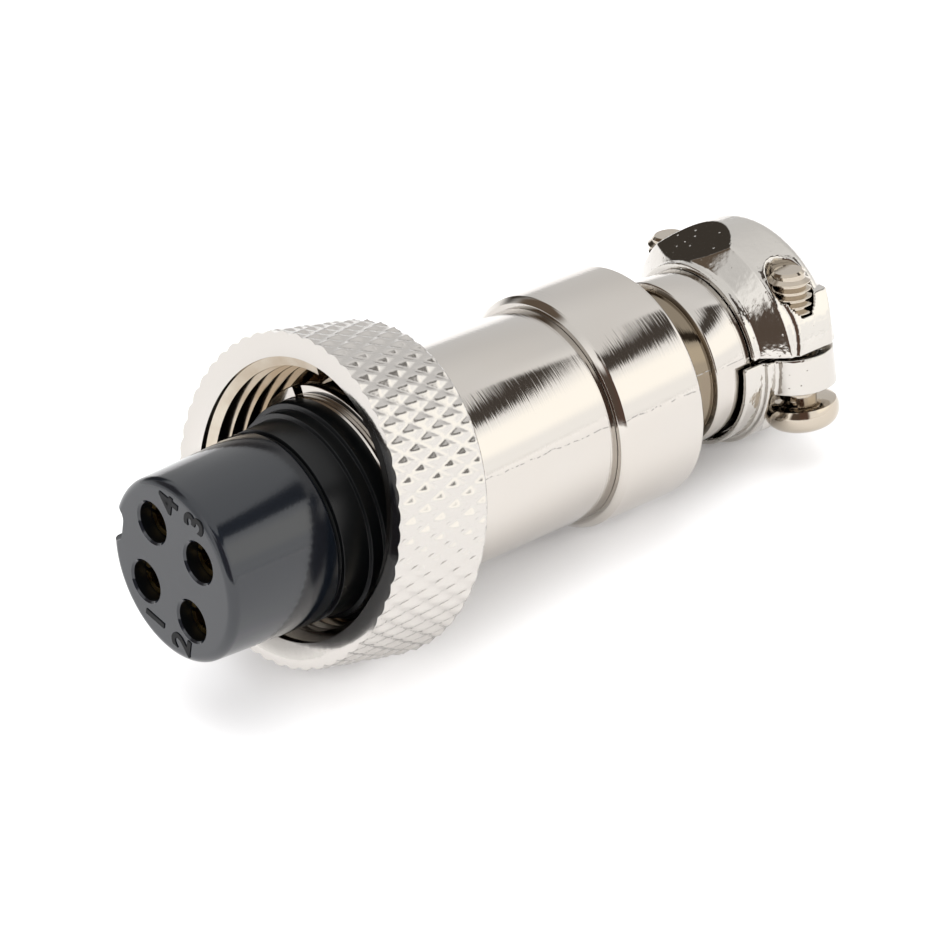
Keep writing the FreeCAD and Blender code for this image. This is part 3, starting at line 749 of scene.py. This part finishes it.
class PLUG_OT_coupling_nut(Operator):
    """Knurled coupling nut with its inner thread"""
    bl_idname = "plug.coupling_nut"
    bl_label = "Coupling nut"

    CELLS_PER_ROW = 8
    CELLS_ROUND = 8
    PEAK_FLAT = 0.1
    CREST_WIDTH = 0.1
    MOUTH_DEPTH = 0.28
    THREAD_START = 0.34
    THREAD_STEPS = 128
    FLANK_ANGLE = math.radians(30)
    THREAD_ROOT_OVERLAP = 0.06
    KNURL_SHARP = math.radians(50)
    # How near a face's middle lies to the front face, the bore or the rear face to count as part of it
    FRONT_PLAY = 0.01
    BORE_PLAY = 0.02
    REAR_PLAY = 0.05

    def knurl_radius(self, s, x, turn):
        """Radius of two crossed families of V grooves at one place on the skin."""
        around = turn / math.tau * s.knurl_count
        along = x / (2 * s.knurl_row)
        cuts = []
        for place in (around + along + 0.5, around - along + 0.5):
            away = abs(place - round(place)) * 2
            cuts.append(max(0.0, (away - self.PEAK_FLAT) / (1 - self.PEAK_FLAT)))
        return s.radius - s.knurl_depth * max(cuts)

    def skin(self, s):
        count = round(s.length / s.knurl_row * self.CELLS_PER_ROW)
        inner_rear = -s.length + s.lip_thickness
        points = [(0, s.mouth_radius), (0, s.radius - s.front_chamfer - s.knurl_depth)]
        points += [(-s.length * step / count, s.radius) for step in range(count + 1)]
        points += [(-s.length, s.lip_radius), (inner_rear, s.lip_radius), (inner_rear, s.thread_major)]
        points += [(-self.MOUTH_DEPTH, s.thread_major)]
        body = turned(points, ease=0, steps=s.knurl_count * self.CELLS_ROUND)
        for corner in body.verts:
            radius = math.hypot(corner.co.y, corner.co.z)
            if radius < s.radius - self.FRONT_PLAY:
                continue
            x = corner.co.x
            limit = min(s.radius - s.front_chamfer - x, s.radius - s.rear_chamfer + s.length + x)
            turn = math.atan2(corner.co.z, corner.co.y)
            wanted = min(limit, self.knurl_radius(s, x, turn))
            corner.co.y *= wanted / radius
            corner.co.z *= wanted / radius
        bmesh.ops.recalc_face_normals(body, faces=body.faces[:])
        return body

    def thread(self, s):
        flank = (s.thread_major - s.thread_minor) * math.tan(self.FLANK_ANGLE)
        first = -self.THREAD_START
        base = s.thread_major + self.THREAD_ROOT_OVERLAP
        section = ridge(first, first - 2 * flank - self.CREST_WIDTH, base, s.thread_minor, flank,
                        self.CREST_WIDTH)
        turns = (s.length - s.lip_thickness + first) / s.thread_pitch - 1.0
        return helix(section, s.thread_pitch, turns, self.THREAD_STEPS)

    def face_finish(self, s, face, in_thread):
        """0 on the knurl, 1 in the thread, 2 on the turned faces."""
        middle = face.calc_center_median()
        radius = math.hypot(middle.y, middle.z)
        rear = -s.length + self.REAR_PLAY
        in_bore = radius < s.thread_major + self.BORE_PLAY and rear < middle.x < -self.MOUTH_DEPTH
        if in_thread or in_bore:
            return 1
        front_face = middle.x > -self.FRONT_PLAY
        rear_face = middle.x < rear and radius < s.radius - s.rear_chamfer
        return 2 if front_face or rear_face or radius < s.radius - 2 * s.knurl_depth else 0

    def execute(self, context):
        s = settings(context.scene.coupling_nut)
        finishes = context.scene.plug_finishes
        body = self.skin(s)
        outer_faces = len(body.faces)
        whole = join(body, self.thread(s))
        whole.faces.ensure_lookup_table()
        for face in whole.faces:
            face.material_index = self.face_finish(s, face, face.index >= outer_faces)
        piece = as_object("plug_coupling_nut", whole)
        piece.data.materials.append(knurled_nickel(finishes.nickel))
        piece.data.materials.append(thread_nickel(finishes.nickel_thread))
        piece.data.materials.append(screw_nickel("scuffed nickel face", finishes.nickel))
        tip = Matrix.Translation((-s.hang, 0, 0)) @ Matrix.Rotation(-s.askew, 4, "Y")
        place = tip @ Matrix.Translation((s.hang_depth, 0, 0))
        finish_piece(piece, None, "nickel_plate", "coupling_nut", "coupling_nut", place=place,
                     sharp=self.KNURL_SHARP)
        return {"FINISHED"}


class PLUG_OT_back_shell(Operator):
    """Turned back shell with the neck that the clamp grips"""
    bl_idname = "plug.back_shell"
    bl_label = "Back shell"

    FRONT_CHAMFER = 0.34
    FRONT_CHAMFER_LENGTH = 0.38
    REAR_ROUND = 0.3
    NECK_CHAMFER = 0.08
    SCRATCH_ANGLE = math.radians(19)
    # Radii between which the throat gets painted shade
    SHADED_RECESS = (4.62 * METRES, 4.85 * METRES)

    def execute(self, context):
        s = settings(context.scene.back_shell)
        finishes = context.scene.plug_finishes
        groove = s.neck_rear + s.groove_width
        end = groove + s.flange_thickness
        points = [(-s.front, s.bore), (-s.front, s.radius - self.FRONT_CHAMFER)]
        points += [(-s.front - self.FRONT_CHAMFER_LENGTH, s.radius)]
        points += rounded_edge(-s.rear, s.radius, self.REAR_ROUND, 6)[::-1]
        points += [(-s.rear, s.throat_radius), (-s.neck_front, s.throat_radius)]
        points += [(-s.neck_front, s.neck_radius - self.NECK_CHAMFER)]
        points += [(-s.neck_front - self.NECK_CHAMFER, s.neck_radius), (-s.neck_rear, s.neck_radius)]
        points += [(-s.neck_rear, s.groove_radius), (-groove, s.groove_radius), (-groove, s.flange_radius)]
        points += [(-end, s.flange_radius), (-end, s.cable_bore), (-s.rear + s.floor, s.cable_bore)]
        points += [(-s.rear + s.floor, s.bore)]
        piece = as_object("plug_back_shell", turned(points))
        nickel = turned_nickel("turned nickel plate on the shell", finishes.nickel,
                               self.SCRATCH_ANGLE, self.SHADED_RECESS)
        finish_piece(piece, nickel, "nickel_plate", "back_shell", "back_shell")
        return {"FINISHED"}


class PLUG_OT_clamp_jaws(Operator):
    """Two die-cast jaws that close on the cable"""
    bl_idname = "plug.clamp_jaws"
    bl_label = "Clamp jaws"

    GRAIN = 0.075
    SMOOTH_PASSES = 2
    LUG_STEPS = 128
    LIP_GAP = 0.2
    RUNNING = 0.06
    LOOSE = 0.22
    FLANGE_PLAY = 0.25
    UPPER_EASE = 0.12
    LOWER_EASE = 0.08
    LOWER_HOLE_PLAY = 0.17
    RIB_PLACES = (0.3, 0.75)

    def hollow(self, s, neck):
        """Cable passage with its ribs and the pocket round the neck's flange."""
        front, rear = -neck.neck_rear + OVERCUT, -s.rear - OVERCUT
        pocket_front = -neck.neck_rear - neck.groove_width + self.FLANGE_PLAY
        pocket_rear = -neck.neck_rear - neck.groove_width - neck.flange_thickness - self.FLANGE_PLAY
        points = [(front, 0), (front, s.grip_radius), (pocket_front, s.grip_radius)]
        points += [(pocket_front, s.pocket_radius), (pocket_rear, s.pocket_radius)]
        points += [(pocket_rear, s.grip_radius)]
        for share in self.RIB_PLACES:
            middle = pocket_rear + share * (-s.rear - pocket_rear)
            ahead, behind = middle + s.rib_width / 2, middle - s.rib_width / 2
            points += [(ahead, s.grip_radius), (ahead, s.grip_radius - s.rib_height)]
            points += [(behind, s.grip_radius - s.rib_height), (behind, s.grip_radius)]
        points += [(rear, s.grip_radius), (rear, 0)]
        return turned(points, ease=0)

    def rear_edge(self, s, radius):
        """Rounded rear edge and rear face of a jaw's outline."""
        return rounded_edge(-s.rear, radius, s.edge_round, 10)[::-1] + [(-s.rear, 0)]

    def screw_holes(self, s, play):
        """Cutters for both screws, through the whole jaw."""
        reach = 4 * s.upper_radius
        return [upright_rod(s.screw_radius + play, -reach, reach, -s.screw_x, side * s.screw_y)
                for side in (-1, 1)]

    def lug(self, s, side, bottom, top):
        y = side * s.screw_y
        boss = upright_rod(s.lug_radius, bottom, top, -s.screw_x, y, self.LUG_STEPS)
        web_from = side * s.grip_radius
        web = block((-s.rear, min(y, web_from), bottom), (-s.screw_x + s.lug_radius, max(y, web_from), top))
        return boss, web

    def bevelled_lug(self, s, side, body_x):
        """Upper lug under the saddle's slope, with the bevel that runs up from the seam to the screw."""
        boss, web = self.lug(s, side, s.seam_height, s.upper_lug_top)
        piece = combine(as_object("lug", boss), [web], "UNION")
        reach = s.screw_y + s.lug_radius - s.lug_set_back
        slope = (s.upper_radius - s.collar_radius) / s.slope_length
        rear = -s.screw_x - s.lug_radius
        room = turned([(body_x, 0), (body_x, s.collar_radius),
                       (body_x - (reach - s.collar_radius) / slope, reach), (rear, reach), (rear, 0)], ease=0)
        combine(piece, [room], "INTERSECT")
        span = 4 * s.lug_radius
        bevel = block((0, -span / 2, -span / 2), (span, span / 2, span / 2))
        out = s.lug_radius - s.bevel_depth
        corner = Vector((-s.screw_x + out * math.cos(s.bevel_out), out * math.sin(s.bevel_out),
                         s.seam_height + s.bevel_lip))
        place = Matrix.Rotation(s.bevel_out, 4, "Z") @ Matrix.Rotation(-s.bevel_up, 4, "Y")
        bmesh.ops.transform(bevel, verts=bevel.verts[:], matrix=Matrix.Translation(corner) @ place)
        bmesh.ops.translate(bevel, verts=bevel.verts[:], vec=(0, s.screw_y, 0))
        if side < 0:
            bmesh.ops.scale(bevel, verts=bevel.verts[:], vec=(1, -1, 1))
            bmesh.ops.recalc_face_normals(bevel, faces=bevel.faces[:])
        combine(piece, [bevel], "DIFFERENCE")
        shape = as_shape(piece)
        discard(piece)
        return shape

    def upper(self, s, neck):
        front = -neck.neck_rear - self.RUNNING
        body_x = -neck.neck_rear - s.collar_length
        points = [(front, 0), (front, s.collar_radius), (body_x, s.collar_radius)]
        points += [(body_x - s.slope_length, s.upper_radius)] + self.rear_edge(s, s.upper_radius)
        piece = as_object("plug_upper_jaw", turned(points, self.UPPER_EASE))
        reach = 4 * s.upper_radius
        combine(piece, [block((-s.rear - reach, -reach, s.seam_height), (reach, reach, reach))], "INTERSECT")
        flat = block((-reach, -reach / 2, 0), (0, reach / 2, s.upper_radius))
        rise = math.atan((s.upper_radius - s.collar_radius) / s.flat_length)
        place = Matrix.Rotation(s.flat_turn, 4, "X") @ Matrix.Translation((body_x, 0, s.collar_radius))
        place = place @ Matrix.Rotation(rise, 4, "Y")
        bmesh.ops.transform(flat, verts=flat.verts[:], matrix=place)
        combine(piece, [flat], "DIFFERENCE")
        for side in (-1, 1):
            combine(piece, [self.bevelled_lug(s, side, body_x)], "UNION")
        collar = long_rod(neck.groove_radius + self.RUNNING, -neck.neck_rear + OVERCUT,
                          -neck.neck_rear - neck.groove_width)
        combine(piece, [self.hollow(s, neck), collar] + self.screw_holes(s, self.RUNNING), "DIFFERENCE")
        return piece

    def lower(self, s, neck):
        lip_x = -neck.neck_rear + s.lip_overlap
        lip_bore = neck.neck_radius + self.LIP_GAP
        top = s.seam_height - s.seam
        body_x = -neck.neck_rear - s.collar_length
        points = [(lip_x, 0), (lip_x, lip_bore + s.lip_wall), (body_x, lip_bore + s.lip_wall)]
        points += [(body_x, s.lower_radius)] + self.rear_edge(s, s.lower_radius)
        piece = as_object("plug_lower_jaw", turned(points, self.LOWER_EASE))
        reach = 4 * s.upper_radius
        combine(piece, [block((-s.rear - reach, -reach, -reach), (reach, reach, top))], "INTERSECT")
        bottom = top - s.lower_lug
        for side in (-1, 1):
            room = upright_rod(s.head_radius + self.LOOSE, bottom - reach, bottom, -s.screw_x,
                               side * s.screw_y)
            combine(piece, [room], "DIFFERENCE")
            combine(piece, self.lug(s, side, bottom, top), "UNION")
        neck_room = long_rod(lip_bore, lip_x + OVERCUT, -neck.neck_rear - self.LOOSE)
        groove_room = long_rod(neck.groove_radius + self.LOOSE, -neck.neck_rear,
                               -neck.neck_rear - neck.groove_width)
        holes = self.screw_holes(s, self.LOWER_HOLE_PLAY)
        combine(piece, [self.hollow(s, neck), neck_room, groove_room] + holes, "DIFFERENCE")
        return piece

    def execute(self, context):
        s = settings(context.scene.cable_clamp)
        neck = settings(context.scene.back_shell)
        casting = cast_nickel(context.scene.plug_finishes.die_cast)
        place = Matrix.Rotation(s.roll, 4, "X")
        for piece, body, node in ((self.upper(s, neck), "upper_jaw", "upper_clamp_jaw"),
                                  (self.lower(s, neck), "lower_jaw", "lower_clamp_jaw")):
            cast_skin(piece, self.GRAIN, self.SMOOTH_PASSES)
            piece.data.materials.clear()
            finish_piece(piece, casting, "die_cast_plate", body, node, place=place, sharp=None)
        return {"FINISHED"}


class PLUG_OT_clamp_screws(Operator):
    """Two cross-recess screws that draw the jaws together"""
    bl_idname = "plug.clamp_screws"
    bl_label = "Clamp screws"

    HEAD_ROUND = 0.9
    # Shoulder of the head under its seat: distance below the seat and from the rim
    SHOULDER = ((0.35, 0), (0.1, 0.12), (0, 0.4))
    TIP_CHAMFER = 0.15
    RECESS_POINT = 0.5
    THREAD_DEPTH = 0.28
    THREAD_END = 0.08
    THREAD_FLANK = 0.45
    THREAD_STEPS = 64
    HEAD_STEPS = 96
    THREAD_LAND = 0.06
    THREAD_ROOT_OVERLAP = 0.03

    def recess_arm(self, s, bottom, turn):
        arm = block((-s.recess_length / 2, -s.recess_width / 2, bottom - OVERCUT),
                    (s.recess_length / 2, s.recess_width / 2, bottom + s.recess_depth))
        for corner in arm.verts:
            if corner.co.z > bottom:
                corner.co.x *= self.RECESS_POINT / s.recess_length
        bmesh.ops.rotate(arm, verts=arm.verts[:], matrix=Matrix.Rotation(turn, 3, "Z"))
        return arm

    def screw(self, s, name, side):
        seat = s.seam_height - s.seam - s.lower_lug - s.screw_slack
        bottom = seat - s.head_height
        core = s.screw_radius - self.THREAD_DEPTH
        # Drawn lying along X with the tip forward, then stood up
        tip = s.screw_tip - self.TIP_CHAMFER
        points = [(bottom, 0)] + rounded_edge(bottom, s.head_radius, self.HEAD_ROUND, 8)
        points += [(seat - below, s.head_radius - inward) for below, inward in self.SHOULDER]
        points += [(seat, core), (tip, core), (s.screw_tip, core - self.TIP_CHAMFER), (s.screw_tip, 0)]
        body = turned(points, ease=0, steps=self.HEAD_STEPS)
        first = s.screw_tip - self.THREAD_END
        flank = s.screw_pitch * self.THREAD_FLANK
        section = ridge(first, first - 2 * flank, core - self.THREAD_ROOT_OVERLAP, s.screw_radius, flank,
                        self.THREAD_LAND)
        turns = (first - seat) / s.screw_pitch - 1.0
        stand = Matrix.Rotation(-math.pi / 2, 3, "Y")
        thread = helix(section, s.screw_pitch, turns, self.THREAD_STEPS)
        for shape in (body, thread):
            bmesh.ops.rotate(shape, verts=shape.verts[:], matrix=stand)
        piece = as_object(name, body)
        combine(piece, [self.recess_arm(s, bottom, turn) for turn in (0, math.pi / 2)], "DIFFERENCE")
        whole = join(as_shape(piece), thread)
        bmesh.ops.translate(whole, verts=whole.verts[:], vec=(-s.screw_x, side * s.screw_y, 0))
        whole.to_mesh(piece.data)
        whole.free()
        piece.data.materials.clear()
        return piece

    def execute(self, context):
        s = settings(context.scene.cable_clamp)
        plate = screw_nickel("barrel-plated screw", context.scene.plug_finishes.screw)
        place = Matrix.Rotation(s.roll, 4, "X")
        for side, word in ((1, "near"), (-1, "far")):
            piece = self.screw(s, "plug_screw_" + word, side)
            finish_piece(piece, plate, "screw_plate", word + "_screw", "clamp_screw_" + word, place=place)
        return {"FINISHED"}


class PLUG_OT_stage(Operator):
    """White sweep, soft lights and the camera"""
    bl_idname = "plug.stage"
    bl_label = "Stage"

    CAMERA_PLACE = Vector((0.170272, 0.224976, 0.169639))
    CAMERA_RIGHT = Vector((-0.76055, 0.64928, 0.0))
    CAMERA_UP = Vector((-0.32595, -0.38181, 0.86486))
    CAMERA_BACK = Vector((0.56153, 0.65777, 0.50202))
    LENS = 228.0
    SENSOR = 36.0
    FLOOR_SPAN = 3.0
    # Depths of the rims that the plug lies on, and the radius of the shell's
    NUT_RIM = -0.0121
    SHELL_RIM = -0.03285
    SHELL_RADIUS = 0.007
    TARGET = Vector((-0.02, 0.0, 0.0))
    # Lights that only soften the shadow: place, side and power
    LIGHTS = {
        "overhead key": ((0.05, -0.12, 0.75), 0.7, 2.6),
        "front fill": ((0.6, 0.05, 0.2), 0.5, 2.2),
        "near fill": ((0.45, 0.4, 0.22), 0.5, 2.6),
        "right fill": ((-0.45, 0.45, 0.22), 0.5, 2.6),
    }
    ROOM_LIGHT = 1.42

    def camera(self):
        data = bpy.data.cameras.new("camera")
        data.lens = self.LENS
        data.sensor_width = self.SENSOR
        data.clip_start = 0.01
        camera = bpy.data.objects.new("camera", data)
        axes = Matrix((self.CAMERA_RIGHT, self.CAMERA_UP, self.CAMERA_BACK)).transposed()
        camera.matrix_world = Matrix.Translation(self.CAMERA_PLACE) @ axes.to_4x4()
        bpy.context.scene.collection.objects.link(camera)
        bpy.context.scene.camera = camera

    def floor(self, colour_value):
        """The plug lies on the nut's rear rim and the shell's rear edge, so the floor touches both."""
        nut_low = Vector((self.NUT_RIM, 0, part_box("coupling_nut")[0].z))
        shell_low = Vector((self.SHELL_RIM, 0, -self.SHELL_RADIUS))
        along = (nut_low - shell_low).normalized()
        turn = Matrix((along, AXIS_Y, along.cross(AXIS_Y))).transposed().to_4x4()
        shape = bmesh.new()
        bmesh.ops.create_grid(shape, x_segments=1, y_segments=1, size=self.FLOOR_SPAN / 2,
                              matrix=Matrix.Translation(nut_low) @ turn)
        floor = as_object("floor", shape)
        floor.data.materials.append(plain_finish("white paper sweep", colour_value, 0.9))

    def light(self, name, place, side, power):
        data = bpy.data.lights.new(name, "AREA")
        data.size = side
        data.energy = power
        lamp = bpy.data.objects.new(name, data)
        lamp.location = place
        lamp.rotation_euler = (Vector(place) - self.TARGET).to_track_quat("Z", "Y").to_euler()
        lamp.visible_glossy = False
        bpy.context.scene.collection.objects.link(lamp)

    # Walls by height in degrees, on the near side and behind the plug
    NEAR_WALL = ((-90, 1.0), (0, 1.0), (6, 1.15), (36, 1.1), (58, 0.8), (90, 0.8))
    FAR_WALL = ((-90, 1.0), (-2, 0.95), (6, 0.62), (30, 0.68), (52, 0.8), (90, 0.8))
    # Boards in the room: turn from, to and edge, height from, to and edge in degrees, and light
    BOARDS = (
        (98, 172, 6, 16, 36, 4, (1.36, 1.34, 1.28)),
        (22, 176, 3, 42, 54, 1.5, (0.07, 0.06, 0.052)),
        (-82, -36, 8, 14, 50, 6, (0.13, 0.1, 0.075)),
        (-118, -82, 6, 4, 32, 6, (0.05, 0.043, 0.036)),
        (30, 70, 6, -4, 46, 4, (0.11, 0.07, 0.055)),
        (13, 40, 5, -6, 32, 4, (0.1, 0.075, 0.06)),
    )

    def wall(self, tree, height, stops):
        """Light of a wall from its foot to its top."""
        share = add_node(tree, "ShaderNodeMapRange", values={"From Min": -90.0, "From Max": 90.0},
                         links={"Value": height})
        ramp_node = add_node(tree, "ShaderNodeValToRGB", links={"Fac": share.outputs["Result"]})
        ramp = ramp_node.color_ramp
        for stop, (lift, value) in zip(ramp.elements, (stops[0], stops[-1])):
            stop.position, stop.color = (lift + 90) / 180, (value, value, value, 1)
        for lift, value in stops[1:-1]:
            ramp.elements.new((lift + 90) / 180).color = (value, value, value, 1)
        return ramp_node.outputs["Color"]

    def window(self, tree, direction, low, high, edge):
        """1 between two angles and 0 outside, with soft edges."""
        sides = [add_node(tree, "ShaderNodeMapRange", {"interpolation_type": "SMOOTHSTEP"},
                          {"From Min": outer, "From Max": inner}, {"Value": direction}).outputs["Result"]
                 for outer, inner in ((low - edge, low + edge), (high + edge, high - edge))]
        both = add_node(tree, "ShaderNodeMath", {"operation": "MULTIPLY"}, links={0: sides[0], 1: sides[1]})
        return both.outputs[0]

    def world(self):
        """White room: a soft box and a dark slot on the near side, and dark boards over the clamp."""
        world = bpy.data.worlds.new("white room")
        bpy.context.scene.world = world
        world.use_nodes = True
        tree = world.node_tree
        coords = add_node(tree, "ShaderNodeTexCoord")
        axes = add_node(tree, "ShaderNodeSeparateXYZ", links={0: coords.outputs["Generated"]})
        lift = add_node(tree, "ShaderNodeMath", {"operation": "ARCSINE"}, links={0: axes.outputs["Z"]})
        around = add_node(tree, "ShaderNodeMath", {"operation": "ARCTAN2"},
                          links={0: axes.outputs["Y"], 1: axes.outputs["X"]})
        height, turn = [add_node(tree, "ShaderNodeMath", {"operation": "DEGREES"},
                                 links={0: radians.outputs[0]}).outputs[0] for radians in (lift, around)]
        nearness = add_node(tree, "ShaderNodeMapRange", {"interpolation_type": "SMOOTHSTEP"},
                            {"From Min": -0.2, "From Max": 0.15}, {"Value": axes.outputs["Y"]})
        far_wall, near_wall = [self.wall(tree, height, stops) for stops in (self.FAR_WALL, self.NEAR_WALL)]
        light = add_node(tree, "ShaderNodeMix", {"data_type": "RGBA"},
                         links={"Factor": nearness.outputs["Result"], "A": far_wall,
                                "B": near_wall}).outputs["Result"]
        for from_turn, to_turn, turn_edge, low, high, height_edge, value in self.BOARDS:
            wide = self.window(tree, turn, from_turn, to_turn, turn_edge)
            tall = self.window(tree, height, low, high, height_edge)
            board = add_node(tree, "ShaderNodeMath", {"operation": "MULTIPLY"}, links={0: wide, 1: tall})
            light = add_node(tree, "ShaderNodeMix", {"data_type": "RGBA"}, {"B": (*value, 1)},
                             {"Factor": board.outputs[0], "A": light}).outputs["Result"]
        background = tree.nodes["Background"]
        background.inputs["Strength"].default_value = self.ROOM_LIGHT
        tree.links.new(light, background.inputs["Color"])

    def execute(self, context):
        self.camera()
        self.floor(context.scene.plug_finishes.floor)
        for name, (place, side, power) in self.LIGHTS.items():
            self.light(name, place, side, power)
        self.world()
        context.scene.view_settings.view_transform = "Standard"
        return {"FINISHED"}


class VIEW3D_PT_cable_plug(Panel):
    """Sizes, finishes and pieces of the cable plug"""
    bl_label = "Cable plug"
    bl_space_type = "VIEW_3D"
    bl_region_type = "UI"
    bl_category = "Cable plug"

    def draw(self, context):
        for operator in OPERATORS:
            self.layout.operator(operator.bl_idname)
        for name in GROUPS:
            box = self.layout.box()
            group = getattr(context.scene, name)
            for key in group.bl_rna.properties.keys():
                if key not in ("rna_type", "name"):
                    box.prop(group, key)


GROUPS = {
    "plug_body": PlugBodySizes,
    "coupling_nut": CouplingNutSizes,
    "back_shell": BackShellSizes,
    "cable_clamp": CableClampSizes,
    "plug_finishes": PlugFinishes,
}
OPERATORS = (PLUG_OT_insert, PLUG_OT_sleeve, PLUG_OT_coupling_nut, PLUG_OT_back_shell,
             PLUG_OT_clamp_jaws, PLUG_OT_clamp_screws, PLUG_OT_stage)


def register():
    for group in GROUPS.values():
        bpy.utils.register_class(group)
    for name, group in GROUPS.items():
        setattr(bpy.types.Scene, name, PointerProperty(type=group))
    for operator in OPERATORS:
        bpy.utils.register_class(operator)
    bpy.utils.register_class(VIEW3D_PT_cable_plug)


def unregister():
    bpy.utils.unregister_class(VIEW3D_PT_cable_plug)
    for operator in reversed(OPERATORS):
        bpy.utils.unregister_class(operator)
    for name, group in GROUPS.items():
        delattr(bpy.types.Scene, name)
        bpy.utils.unregister_class(group)


def main():
    register()
    bpy.ops.plug.insert()
    bpy.ops.plug.sleeve()
    bpy.ops.plug.coupling_nut()
    bpy.ops.plug.back_shell()
    bpy.ops.plug.clamp_jaws()
    bpy.ops.plug.clamp_screws()
    bpy.ops.plug.stage()


if __name__ == "__main__":
    main()
